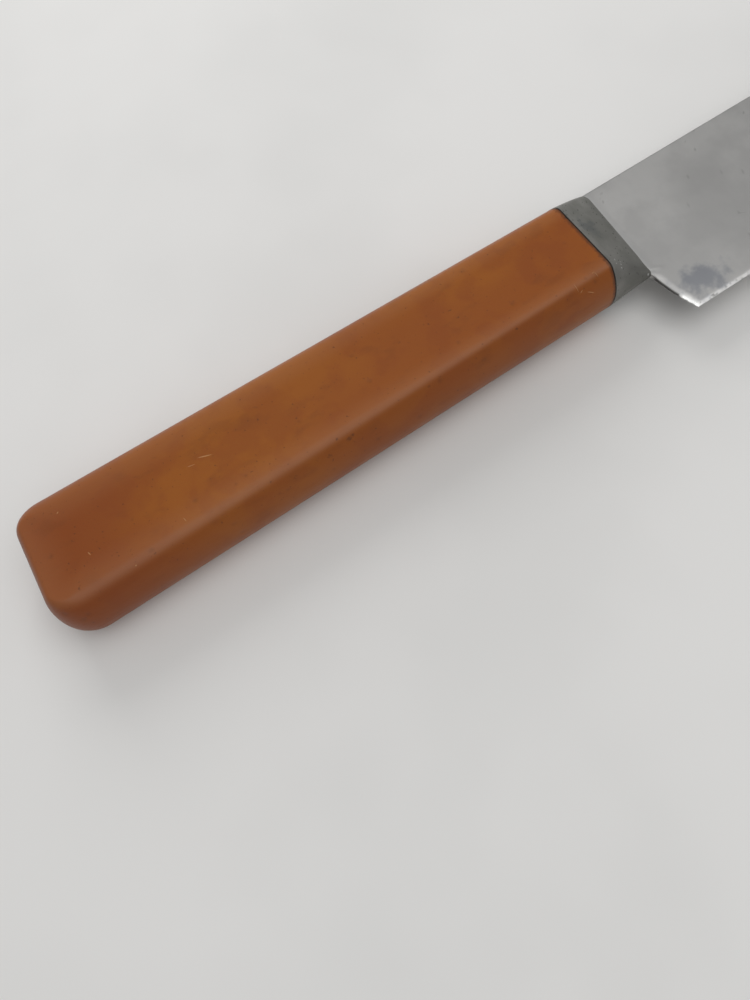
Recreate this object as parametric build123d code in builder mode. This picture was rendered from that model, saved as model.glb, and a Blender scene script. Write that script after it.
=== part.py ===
"""Chef knife with a slab handle of cast phenolic resin, a cast light-alloy bolster and a stick tang.

The knife lies on its side, as it does on a table. X runs along it towards the tip, Y runs from the
cutting edge towards the spine, and Z is up, through its thickness. The origin is the middle of the
handle's flat underside, so the table is Z = 0. All sizes are in millimetres.

The steel blade and its tang are one forging. The bolster is cast round the blade's root, and the
tang is set in the handle's drilled hole with cutler's cement, which also fills the thin seam.
"""

import os
from math import radians, tan

from build123d import *

# Handle: a slab with flat broad faces and bowed narrow sides, taller at the butt
HANDLE_LENGTH = 120.0
HANDLE_THICKNESS = 14.8
FRONT_HEIGHT = 22.9
BUTT_HEIGHT = 26.4
BUTT_RISE = 0.8  # how far the butt's middle lies towards the spine
SIDE_CROWN = 3.4  # how far the narrow sides bow out
RIDGE_RADIUS = 2.4  # softening where a broad face meets a narrow side
BUTT_SLANT = 3.5  # degrees, the butt reaches further back on the belly side
BUTT_SETBACK = 0.41  # how far the butt's middle lies in front of its furthest point
BUTT_CORNER_RADIUS = 6.2
EDGE_DEPTH = 5.0  # of the cutter that shapes the bow and the ridges

# Cement seam between the handle and the bolster
SEAM_THICKNESS = 0.25
SEAM_INSET = 0.3  # how far it stays behind the outer surface

# Bolster: a wedge from the handle's section down to a thin toe on the blade
BOLSTER_LENGTH = 9.6
TOE_SLANT = 3.0  # degrees, the toe is further forward at the spine
TOE_SPINE_THICKNESS = 3.0
TOE_BELLY_THICKNESS = 2.0
TOE_CROWN = 0.5
TOE_RIDGE_RADIUS = 0.5

# Blade: ground flat from a thick spine to a thin edge with a sharpening bevel
BLADE_LENGTH = 178.0  # from the bolster's toe to the tip
SPINE_Y = 11.45
EDGE_Y = -22.1
TIP_Y = 2.6
SPINE_STRAIGHT = 98.0  # length before the spine starts to drop
EDGE_STRAIGHT = 62.0  # length before the edge starts to curve up
HEEL_SLANT = 2.6  # how far the heel's corner lies in front of the choil
HEEL_HOLLOW = 0.35  # how far the heel's back bows in
STOCK_THICKNESS = 2.2  # at the heel's spine, in the root and in the tang
TIP_THICKNESS = 0.8
SHOULDER_THICKNESS = 0.5  # at the top of the sharpening bevel
BEVEL_HEIGHT = 1.1
EDGE_THICKNESS = 0.08
TIP_BLUNTING = 0.8
STATIONS = 14
STATION_CROWDING = 1.4  # above one crowds the stations towards the tip

# Root in the bolster, and tang in the handle
ROOT_HEIGHT = 18.0
ROOT_DEPTH = 6.5
ROOT_LAND = 2.5  # how far behind the toe the root reaches its full thickness
ROOT_CORNER_RADIUS = 2.0
TANG_HEIGHT = 8.6
TANG_END_HEIGHT = 5.4
TANG_DEPTH = 86.0
TANG_END_RADIUS = 1.5
NOTCH_RADIUS = 1.0
NOTCH_PITCH = 16.0
NOTCH_COUNT = 4

# Drilled hole in the handle
HOLE_RADIUS = 4.8
HOLE_DEPTH = 90.0
DRILL_POINT_ANGLE = 118.0

# Places along X, and the knife's middle plane
butt_x = -HANDLE_LENGTH / 2 + BUTT_SETBACK
seam_x = HANDLE_LENGTH / 2
handle_front_x = seam_x - SEAM_THICKNESS
toe_x = seam_x + BOLSTER_LENGTH
root_x = toe_x - ROOT_DEPTH
land_x = toe_x - ROOT_LAND
tip_x = toe_x + BLADE_LENGTH
tang_end_x = seam_x - TANG_DEPTH
middle_z = HANDLE_THICKNESS / 2
belly_y = -FRONT_HEIGHT / 2
slant_run = tan(radians(TOE_SLANT))


def across(x, y=0.0, run=0.0):
    """Plane across the knife whose own x is the knife's Y and whose own y is the knife's Z."""
    return Plane(origin=(x, y, middle_z), x_dir=(run, 1, 0), z_dir=(1, -run, 0))


def slab_section(height, spine_thickness, belly_thickness, crown, ridge_radius):
    """Section with two flat broad faces and two bowed narrow sides."""
    flat_end = height / 2 - crown
    spine_half = spine_thickness / 2
    belly_half = belly_thickness / 2
    with BuildSketch(Plane.XY) as section:
        with BuildLine():
            Line((-flat_end, belly_half), (flat_end, spine_half))
            ThreePointArc((flat_end, spine_half), (height / 2, 0), (flat_end, -spine_half))
            Line((flat_end, -spine_half), (-flat_end, -belly_half))
            ThreePointArc((-flat_end, -belly_half), (-height / 2, 0), (-flat_end, belly_half))
        make_face()
        fillet(section.vertices(), ridge_radius)
    return section.sketch_local


def arc_rise(x, start_x, tip_rise):
    """How far an arc that leaves its straight run at start_x, and ends at the tip, has risen at x."""
    run = tip_x - start_x
    radius = (run**2 + tip_rise**2) / (2 * tip_rise)
    along = max(0.0, x - start_x)
    return radius - (radius**2 - along**2) ** 0.5


def blade_section(x):
    """Section of the ground blade at x, with its sharpening bevel."""
    bottom = EDGE_Y + arc_rise(x, toe_x + EDGE_STRAIGHT, TIP_Y - EDGE_Y)
    top = SPINE_Y - arc_rise(x, toe_x + SPINE_STRAIGHT, SPINE_Y - TIP_Y)
    shoulder = bottom + min(BEVEL_HEIGHT, (top - bottom) / 3)
    forward_share = max(0.0, (x - toe_x) / BLADE_LENGTH)
    spine_half = (STOCK_THICKNESS + (TIP_THICKNESS - STOCK_THICKNESS) * forward_share) / 2
    shoulder_half = SHOULDER_THICKNESS / 2
    edge_half = EDGE_THICKNESS / 2
    with BuildSketch(Plane.XY) as section:
        with BuildLine():
            Polyline(
                (bottom, -edge_half),
                (shoulder, -shoulder_half),
                (top, -spine_half),
                (top, spine_half),
                (shoulder, shoulder_half),
                (bottom, edge_half),
                close=True,
            )
        make_face()
    return section.sketch_local


def toe_line_x(y):
    """X of the slanted toe line at the height y on the blade."""
    return toe_x + y * slant_run


# Steel blade with its root and tang
with BuildPart() as blade:
    first_x = land_x - 1
    last_x = tip_x - TIP_BLUNTING
    for station in range(STATIONS + 1):
        forward_share = 1 - (1 - station / STATIONS) ** STATION_CROWDING
        station_x = first_x + (last_x - first_x) * forward_share
        with BuildSketch(across(station_x)):
            add(blade_section(station_x))
    loft()

    # The heel's hollow back and both shoulders are cut away behind the toe line
    clear_x = first_x - 1
    choil_x = toe_line_x(belly_y)
    heel_x = choil_x + HEEL_SLANT
    heel_middle = ((choil_x + heel_x) / 2 - HEEL_HOLLOW, (belly_y + EDGE_Y) / 2)
    with BuildSketch(Plane.XY):
        with BuildLine():
            ThreePointArc((choil_x, belly_y), heel_middle, (heel_x, EDGE_Y))
            Polyline(
                (heel_x, EDGE_Y),
                (heel_x, EDGE_Y - 1),
                (clear_x, EDGE_Y - 1),
                (clear_x, -ROOT_HEIGHT / 2),
                (toe_line_x(-ROOT_HEIGHT / 2), -ROOT_HEIGHT / 2),
                (choil_x, belly_y),
            )
        make_face()
        with BuildLine():
            Polyline(
                (clear_x, ROOT_HEIGHT / 2),
                (clear_x, SPINE_Y + 1),
                (toe_line_x(SPINE_Y + 1), SPINE_Y + 1),
                (toe_line_x(ROOT_HEIGHT / 2), ROOT_HEIGHT / 2),
                close=True,
            )
        make_face()
    extrude(amount=HANDLE_THICKNESS, mode=Mode.SUBTRACT)

    # Root of full stock thickness, and the tang, whose half-round notches key it in the cement
    with BuildSketch(Plane.XY.offset(middle_z - STOCK_THICKNESS / 2)) as tang_plan:
        with BuildLine():
            Polyline(
                (land_x, -ROOT_HEIGHT / 2),
                (root_x, -ROOT_HEIGHT / 2),
                (root_x, -TANG_HEIGHT / 2),
                (tang_end_x, -TANG_END_HEIGHT / 2),
                (tang_end_x, TANG_END_HEIGHT / 2),
                (root_x, TANG_HEIGHT / 2),
                (root_x, ROOT_HEIGHT / 2),
                (land_x, ROOT_HEIGHT / 2),
                close=True,
            )
        make_face()
        end_corners, root_corners, land_corners = tang_plan.vertices().group_by(Axis.X)
        root_corners = root_corners.sort_by(Axis.Y)
        fillet(end_corners, TANG_END_RADIUS)
        fillet([root_corners[0], root_corners[-1]], ROOT_CORNER_RADIUS)
        for notch in range(1, NOTCH_COUNT + 1):
            share_from_end = notch * NOTCH_PITCH / (root_x - tang_end_x)
            height_here = TANG_END_HEIGHT + (TANG_HEIGHT - TANG_END_HEIGHT) * share_from_end
            with Locations((tang_end_x + notch * NOTCH_PITCH, 0)):
                with GridLocations(0, height_here, 1, 2):
                    Circle(NOTCH_RADIUS, mode=Mode.SUBTRACT)
    extrude(amount=STOCK_THICKNESS)

# Bolster, cast round the root
with BuildPart() as bolster:
    with BuildSketch(across(seam_x)):
        add(slab_section(FRONT_HEIGHT, HANDLE_THICKNESS, HANDLE_THICKNESS, SIDE_CROWN, RIDGE_RADIUS))
    with BuildSketch(across(toe_x, run=slant_run)):
        add(slab_section(FRONT_HEIGHT, TOE_SPINE_THICKNESS, TOE_BELLY_THICKNESS, TOE_CROWN, TOE_RIDGE_RADIUS))
    loft(ruled=True)
    add(blade.part, mode=Mode.SUBTRACT)

# Drill that makes the tang's hole
with BuildPart() as drill:
    point_x = handle_front_x - HOLE_DEPTH - HOLE_RADIUS / tan(radians(DRILL_POINT_ANGLE / 2))
    with BuildSketch(Plane.XZ):
        with BuildLine():
            Polyline(
                (handle_front_x, middle_z),
                (handle_front_x, middle_z + HOLE_RADIUS),
                (handle_front_x - HOLE_DEPTH, middle_z + HOLE_RADIUS),
                (point_x, middle_z),
                close=True,
            )
        make_face()
    revolve(axis=Axis((0, 0, middle_z), (1, 0, 0)))

# Handle: a slab with a bowed edge, which runs along both sides and round the butt's corners
with BuildPart() as handle:
    with BuildSketch(Plane.XY):
        with Locations((handle_front_x, 0)):
            Rectangle(1.1 * HANDLE_LENGTH, 1.5 * BUTT_HEIGHT, align=(Align.MAX, Align.CENTER))
    extrude(amount=HANDLE_THICKNESS)
    with BuildLine(Plane.XY.offset(middle_z)) as outline:
        butt_run = BUTT_HEIGHT / 2 * tan(radians(BUTT_SLANT))
        FilletPolyline(
            (seam_x, FRONT_HEIGHT / 2),
            (butt_x + butt_run, BUTT_RISE + BUTT_HEIGHT / 2),
            (butt_x - butt_run, BUTT_RISE - BUTT_HEIGHT / 2),
            (seam_x, -FRONT_HEIGHT / 2),
            radius=BUTT_CORNER_RADIUS,
        )
    apex_line = outline.wires()[0]
    with BuildSketch(Plane(origin=apex_line @ 0, x_dir=(0, 1, 0), z_dir=apex_line % 0)):
        with Locations((-EDGE_DEPTH, 0)):
            Rectangle(EDGE_DEPTH + BUTT_HEIGHT, HANDLE_THICKNESS, align=(Align.MIN, Align.CENTER))
        with Locations((-FRONT_HEIGHT / 2, 0)):
            add(
                slab_section(FRONT_HEIGHT, HANDLE_THICKNESS, HANDLE_THICKNESS, SIDE_CROWN, RIDGE_RADIUS),
                mode=Mode.SUBTRACT,
            )
    sweep(path=apex_line, mode=Mode.SUBTRACT)
    add(drill.part, mode=Mode.SUBTRACT)

# Cement round the tang, spread into the seam
with BuildPart() as tang_cement:
    with BuildSketch(across(handle_front_x)):
        seam_height = FRONT_HEIGHT - 2 * SEAM_INSET
        seam_width = HANDLE_THICKNESS - 2 * SEAM_INSET
        add(slab_section(seam_height, seam_width, seam_width, SIDE_CROWN, RIDGE_RADIUS - SEAM_INSET))
    extrude(amount=SEAM_THICKNESS)
    add(drill.part)
    add(blade.part, mode=Mode.SUBTRACT)

blade.part.label = "blade"
bolster.part.label = "bolster"
handle.part.label = "handle"
tang_cement.part.label = "tang_cement"

os.makedirs("parts", exist_ok=True)
for piece in (blade, bolster, handle, tang_cement):
    export_step(piece.part, f"parts/{piece.part.label}.step")
    print(piece.part.label, len(piece.part.solids()), round(piece.part.volume, 1), piece.part.is_valid)
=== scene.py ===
"""Looks of a chef knife: a worn steel blade, a dull cast bolster and a slab handle of cast resin.

The knife lies on its left side. X runs along it towards the tip, Y from the cutting edge towards the
spine, and Z up through its thickness. Sizes inside the classes are in millimetres, and the meshes are
in metres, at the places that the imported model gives.
"""

import logging
import math
from dataclasses import dataclass, replace
from enum import Enum
from itertools import accumulate
from typing import ClassVar, Optional, Union

import bmesh
import bpy
from mathutils import Euler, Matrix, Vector


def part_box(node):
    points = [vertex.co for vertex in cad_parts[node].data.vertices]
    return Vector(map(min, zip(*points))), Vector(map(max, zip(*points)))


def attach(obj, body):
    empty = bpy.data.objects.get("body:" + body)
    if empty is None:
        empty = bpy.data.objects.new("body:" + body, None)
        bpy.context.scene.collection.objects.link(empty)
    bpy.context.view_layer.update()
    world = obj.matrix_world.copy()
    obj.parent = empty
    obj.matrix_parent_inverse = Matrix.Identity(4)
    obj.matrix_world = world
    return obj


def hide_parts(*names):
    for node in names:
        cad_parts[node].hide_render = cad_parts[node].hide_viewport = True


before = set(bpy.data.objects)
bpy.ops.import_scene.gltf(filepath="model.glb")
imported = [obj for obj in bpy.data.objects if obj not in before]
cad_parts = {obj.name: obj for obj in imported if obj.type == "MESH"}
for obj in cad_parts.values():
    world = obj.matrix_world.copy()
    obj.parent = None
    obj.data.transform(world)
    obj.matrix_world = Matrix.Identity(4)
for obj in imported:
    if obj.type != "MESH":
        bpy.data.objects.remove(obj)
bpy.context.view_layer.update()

LOG = logging.getLogger("chef_knife")
MM = 0.001
CM2_PER_M2 = 1e4
MERGE_DISTANCE = 1.5e-6
SMALLEST_PIT = 0.35  # as a share of the largest one's radius
QUARTER_TURN = math.pi / 2
SHARP_ANGLE = math.radians(38)
NOTCH_STEPS = 8
CORNER_STEPS = 5

Colour = tuple[float, float, float, float]
Point = tuple[float, float, float]
Number = Union["Field", float]
Socket = bpy.types.NodeSocket


# --------------------------------------------------------------------------- node helpers


def pick(sockets: bpy.types.bpy_prop_collection, key: Union[int, str]) -> Socket:
    """Finds a socket by its place, its identifier or its name.

    Args:
        sockets: The inputs or outputs of a node.
        key: An index, an identifier or a name.

    Returns:
        The first socket that matches.
    """
    if isinstance(key, int):
        return sockets[key]
    named = [socket for socket in sockets if socket.identifier == key]
    return named[0] if named else sockets[key]


@dataclass(frozen=True)
class Field:
    """A number that varies over a mesh or a surface, and takes ordinary arithmetic."""

    graph: "Graph"
    socket: Socket

    def __add__(self, other: Number) -> "Field":
        """Adds a number."""
        return self.graph.math("ADD", self, other)

    def __sub__(self, other: Number) -> "Field":
        """Takes a number away."""
        return self.graph.math("SUBTRACT", self, other)

    def __rsub__(self, other: Number) -> "Field":
        """Is taken away from a number."""
        return self.graph.math("SUBTRACT", other, self)

    def __mul__(self, other: Number) -> "Field":
        """Multiplies by a number."""
        return self.graph.math("MULTIPLY", self, other)

    def __truediv__(self, other: Number) -> "Field":
        """Divides by a number."""
        return self.graph.math("DIVIDE", self, other)

    def __rtruediv__(self, other: Number) -> "Field":
        """Divides a number."""
        return self.graph.math("DIVIDE", other, self)

    def __neg__(self) -> "Field":
        """Changes the sign."""
        return self.graph.math("MULTIPLY", self, -1.0)

    __radd__ = __add__
    __rmul__ = __mul__


def blend(start: Number, end: Number, share: Number) -> Number:
    """Goes in a straight line from start to end as share goes from 0 to 1.

    Args:
        start: Value at a share of 0.
        end: Value at a share of 1.
        share: How far along.

    Returns:
        The value at that share.
    """
    return start + (end - start) * share


class Graph:
    """Adds nodes to a tree with short calls. It serves geometry and shader trees alike."""

    def __init__(self, tree: bpy.types.NodeTree) -> None:
        """Keeps the tree that the nodes go into."""
        self.tree = tree

    def feed(self, socket: Socket, value: object) -> None:
        """Links a field or a socket to an input, or sets a plain value on it.

        Args:
            socket: The input.
            value: A field, a socket or a plain value.
        """
        if isinstance(value, Field):
            value = value.socket
        if isinstance(value, Socket):
            self.tree.links.new(value, socket)
        else:
            socket.default_value = value

    def node(self, kind: str, inputs: Optional[dict] = None, **settings: object) -> bpy.types.Node:
        """Adds a node.

        Args:
            kind: The node's type name.
            inputs: Values, fields or sockets for its inputs, by index, identifier or name.
            **settings: Properties of the node.

        Returns:
            The new node.
        """
        made = self.tree.nodes.new(kind)
        for key, value in settings.items():
            setattr(made, key, value)
        for key, value in (inputs or {}).items():
            self.feed(pick(made.inputs, key), value)
        return made

    def math(self, operation: str, *values: Number) -> Field:
        """Adds a Math node and returns its result."""
        made = self.node("ShaderNodeMath", dict(enumerate(values)), operation=operation)
        return Field(self, made.outputs[0])

    def clamp(self, value: Number, low: Number, high: Number) -> Field:
        """Keeps a value between two others."""
        return self.math("MINIMUM", self.math("MAXIMUM", value, low), high)

    def smooth(self, value: Number, low: float, high: float) -> Field:
        """Rises smoothly from 0 to 1 while value goes from low to high.

        Args:
            value: The number that drives the rise.
            low: Where the rise starts.
            high: Where it ends.

        Returns:
            The share as a field.
        """
        inputs = {0: value, 1: low, 2: high}
        made = self.node("ShaderNodeMapRange", inputs, interpolation_type="SMOOTHSTEP")
        return Field(self, made.outputs[0])

    def vector(self, x: Number, y: Number, z: Number) -> Socket:
        """Joins three numbers into a vector."""
        return self.node("ShaderNodeCombineXYZ", {0: x, 1: y, 2: z}).outputs[0]

    def parts(self, vector: Socket) -> tuple[Field, Field, Field]:
        """Splits a vector into its three numbers."""
        made = self.node("ShaderNodeSeparateXYZ", {0: vector})
        return tuple(Field(self, output) for output in made.outputs)

    def scaled(self, vector: Socket, factor: Number) -> Socket:
        """Multiplies a vector by a number."""
        made = self.node("ShaderNodeVectorMath", {0: vector, "Scale": factor}, operation="SCALE")
        return made.outputs[0]

    def noise(
        self,
        vector: Socket,
        size: float,
        seed: float,
        detail: float = 2.0,
        stretch: Point = (1.0, 1.0, 1.0),
    ) -> Field:
        """Adds a noise that runs from about 0 to 1.

        Args:
            vector: Place in millimetres.
            size: Size of the largest features in millimetres.
            seed: Fixed number that picks the pattern.
            detail: How many finer layers are added.
            stretch: How many times longer the features are along X, Y and Z.

        Returns:
            The noise as a field.
        """
        squeeze = tuple(1 / (size * part) for part in stretch)
        place = self.node("ShaderNodeVectorMath", {0: vector, 1: squeeze}, operation="MULTIPLY")
        inputs = {"Vector": place.outputs[0], "W": seed, "Scale": 1.0, "Detail": detail}
        made = self.node("ShaderNodeTexNoise", inputs, noise_dimensions="4D")
        return Field(self, made.outputs[0])


# --------------------------------------------------------------------------- geometry trees


class ShapeTree(Graph):
    """Geometry Nodes tree of one piece, with its sizes as named inputs in millimetres."""

    def __init__(self, name: str) -> None:
        """Makes an empty tree with one geometry output.

        Args:
            name: The tree's name.
        """
        super().__init__(bpy.data.node_groups.new(name, "GeometryNodeTree"))
        self.tree.interface.new_socket("Geometry", in_out="OUTPUT", socket_type="NodeSocketGeometry")
        self.entry = self.tree.nodes.new("NodeGroupInput")
        self.exit = self.tree.nodes.new("NodeGroupOutput")
        self.values: dict[str, float] = {}

    def size(self, name: str, value: float) -> Field:
        """Adds a named input, and keeps the value that it is to be given.

        Args:
            name: The input's name.
            value: Its value, in millimetres unless its name says otherwise.

        Returns:
            The input as a field.
        """
        socket = self.tree.interface.new_socket(name, in_out="INPUT", socket_type="NodeSocketFloat")
        self.values[socket.identifier] = value
        return Field(self, pick(self.entry.outputs, socket.identifier))

    def sheet(self, stages: dict[str, int], columns: int) -> tuple[Socket, Field, list[Field]]:
        """Adds a flat grid that a rule then bends into shape, stage by stage.

        Args:
            stages: Number of steps along the piece in each stage that it goes through.
            columns: Number of steps round it.

        Returns:
            The grid, the share of the way round it, and how far each stage has gone, from 0 to 1.
        """
        rows = sum(stages.values())
        inputs = {"Size X": 1.0, "Size Y": 1.0, "Vertices X": rows + 1, "Vertices Y": columns + 1}
        grid = self.node("GeometryNodeMeshGrid", inputs)
        along, around, _ = self.parts(self.node("GeometryNodeInputPosition").outputs[0])
        step = (along + 0.5) * rows
        shares = []
        for start, count in zip(accumulate(stages.values(), initial=0), stages.values()):
            shares.append(self.clamp((step - float(start)) / float(count), 0.0, 1.0))
        return grid.outputs["Mesh"], around + 0.5, shares

    def bent(self, mesh: Socket, x: Field, y: Field, z: Field) -> Socket:
        """Moves a grid's points, and closes the seams and poles where they meet.

        Args:
            mesh: The grid.
            x: Place along the knife in millimetres.
            y: Place towards the spine.
            z: Height above the table.

        Returns:
            The bent sheet.
        """
        place = self.scaled(self.vector(x, y, z), MM)
        moved = self.node("GeometryNodeSetPosition", {"Geometry": mesh, "Position": place})
        inputs = {"Geometry": moved.outputs[0], "Distance": MERGE_DISTANCE}
        return self.node("GeometryNodeMergeByDistance", inputs).outputs[0]

    def remembered(self, mesh: Socket, name: str, value: Field) -> Socket:
        """Stores a field on the mesh's points.

        Args:
            mesh: The mesh.
            name: The attribute's name.
            value: What is stored.

        Returns:
            The mesh with its attribute.
        """
        inputs = {"Geometry": mesh, "Name": name, "Value": value}
        stored = self.node("GeometryNodeStoreNamedAttribute", inputs, data_type="FLOAT", domain="POINT")
        return stored.outputs[0]

    def flipped(self, mesh: Socket) -> Socket:
        """Turns the faces over."""
        return self.node("GeometryNodeFlipFaces", {"Mesh": mesh}).outputs[0]

    def recalled(self, name: str) -> Field:
        """Reads a stored field back."""
        made = self.node("GeometryNodeInputNamedAttribute", {"Name": name}, data_type="FLOAT")
        return Field(self, made.outputs[0])

    def joined(self, *meshes: Socket) -> Socket:
        """Joins meshes along the points that they share.

        Args:
            *meshes: The meshes.

        Returns:
            One mesh.
        """
        join = self.node("GeometryNodeJoinGeometry")
        for mesh in meshes:
            self.tree.links.new(mesh, join.inputs[0])
        inputs = {"Geometry": join.outputs[0], "Distance": MERGE_DISTANCE}
        return self.node("GeometryNodeMergeByDistance", inputs).outputs[0]

    def place_mm(self) -> Socket:
        """The place of each point in millimetres."""
        return self.scaled(self.node("GeometryNodeInputPosition").outputs[0], 1 / MM)

    def pressed(self, mesh: Socket, depth: Field) -> Socket:
        """Moves the surface inwards.

        Args:
            mesh: The surface.
            depth: How far, in millimetres.

        Returns:
            The pressed surface.
        """
        normal = self.node("GeometryNodeInputNormal").outputs[0]
        offset = self.scaled(normal, depth * -MM)
        return self.node("GeometryNodeSetPosition", {"Geometry": mesh, "Offset": offset}).outputs[0]

    def pits(self, mesh: Socket, per_cm2: Number, radius: float, seed: int) -> Field:
        """Scatters round marks over a surface.

        Args:
            mesh: The surface.
            per_cm2: How many marks there are on a square centimetre.
            radius: Radius of the largest mark in millimetres.
            seed: Fixed number that picks the places.

        Returns:
            A field that is 1 in the middle of a mark and 0 outside every mark.
        """
        inputs = {"Mesh": mesh, "Density": per_cm2 * CM2_PER_M2, "Seed": seed}
        points = self.node("GeometryNodeDistributePointsOnFaces", inputs).outputs["Points"]
        near = self.node("GeometryNodeProximity", {0: points}, target_element="POINTS")
        nearest = self.node("GeometryNodeSampleNearest", {"Geometry": points})
        inputs = {"Min_001": SMALLEST_PIT, "Max_001": 1.0, "Seed": seed}
        chance = self.node("FunctionNodeRandomValue", inputs, data_type="FLOAT")
        inputs = {
            "Geometry": points,
            "Value": pick(chance.outputs, "Value_001"),
            "Index": nearest.outputs[0],
        }
        reach = self.node("GeometryNodeSampleIndex", inputs, data_type="FLOAT", domain="POINT")
        distance = Field(self, near.outputs["Distance"])
        return 1.0 - self.smooth(distance / (Field(self, reach.outputs[0]) * (radius * MM)), 0.1, 1.0)

    def made(self, mesh: Socket, name: str, material: bpy.types.Material) -> bpy.types.Object:
        """Ends the tree, runs it once and keeps the result as a plain mesh.

        Args:
            mesh: The last geometry of the tree.
            name: The new object's name.
            material: The material that it wears.

        Returns:
            An object at the origin with no modifier.
        """
        whole = self.node("GeometryNodeRealizeInstances", {"Geometry": mesh})
        inputs = {"Geometry": whole.outputs[0], "Material": material}
        dressed = self.node("GeometryNodeSetMaterial", inputs)
        self.tree.links.new(dressed.outputs[0], self.exit.inputs[0])
        carrier = bpy.data.objects.new(name, bpy.data.meshes.new(name))
        bpy.context.scene.collection.objects.link(carrier)
        modifier = carrier.modifiers.new(self.tree.name, "NODES")
        modifier.node_group = self.tree
        for identifier, value in self.values.items():
            modifier[identifier] = value
        evaluated = carrier.evaluated_get(bpy.context.evaluated_depsgraph_get())
        result = bpy.data.meshes.new_from_object(evaluated)
        result.materials.clear()
        result.materials.append(material)
        result.polygons.foreach_set("material_index", [0] * len(result.polygons))
        carrier.modifiers.remove(modifier)
        carrier.data = result
        return carrier


@dataclass(frozen=True)
class SlabRule:
    """Rule for a section with two flat broad faces, two bowed narrow sides and four rounded ridges."""

    half_height: Number
    half_thickness: Number
    crown: Number
    ridge_radius: Number

    def walked(self, tree: ShapeTree, around: Field) -> tuple[Field, Field, Field]:
        """Places a point on the section.

        Args:
            tree: The tree that the nodes go into.
            around: Share of the way round, from the middle of the upper face towards the spine.

        Returns:
            The place towards the spine, the place upwards, and how near a ridge's upper half is.
        """
        side_radius = self.crown * self.crown + self.half_thickness * self.half_thickness
        side_radius = side_radius / (self.crown * 2.0)
        inset_half = self.half_thickness - self.ridge_radius
        turn = tree.math("ARCCOSINE", inset_half / (side_radius - self.ridge_radius))
        turn_sine = tree.math("SINE", turn)
        turn_cosine = tree.math("COSINE", turn)
        flat = self.half_height - self.ridge_radius * turn_sine - side_radius * (1.0 - turn_sine)
        ridge = turn * self.ridge_radius
        side = (QUARTER_TURN - turn) * side_radius
        walk = tree.math("PINGPONG", around * 4.0, 1.0) * (flat + ridge + side)
        ridge_turn = tree.clamp((walk - flat) / self.ridge_radius, 0.0, turn)
        side_turn = turn + tree.clamp((walk - flat - ridge) / side_radius, 0.0, QUARTER_TURN)
        out = tree.math("MINIMUM", walk, flat)
        out = out + tree.math("SINE", ridge_turn) * self.ridge_radius
        out = out + (tree.math("SINE", side_turn) - turn_sine) * side_radius
        up = self.half_thickness - (1.0 - tree.math("COSINE", ridge_turn)) * self.ridge_radius
        up = up - (turn_cosine - tree.math("COSINE", side_turn)) * side_radius
        out_sign = tree.math("SIGN", 0.5 - around)
        up_sign = tree.math("SIGN", tree.math("COSINE", around * math.tau))
        # the third share leans to a ridge's upper half, where the handle's painted sheen goes
        off_ridge = (walk - flat) / ridge - 0.4
        faded = tree.math("MAXIMUM", off_ridge * -0.6, off_ridge * 1.6)
        return out * out_sign, up * up_sign, 1.0 - tree.smooth(faded, 0.0, 1.0)


# --------------------------------------------------------------------------- finishes


class Lay(Enum):
    """Direction of a metal's fine grinding lines, as stretches along X, Y and Z."""

    ALONG = (30.0, 1.0, 1.0)
    ACROSS = (1.0, 30.0, 1.0)


@dataclass(frozen=True)
class Scar:
    """A small scratch or chip, as a flattened ellipse on the surface."""

    centre: Point
    length: float
    width: float
    heading: float = 0.0


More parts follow.
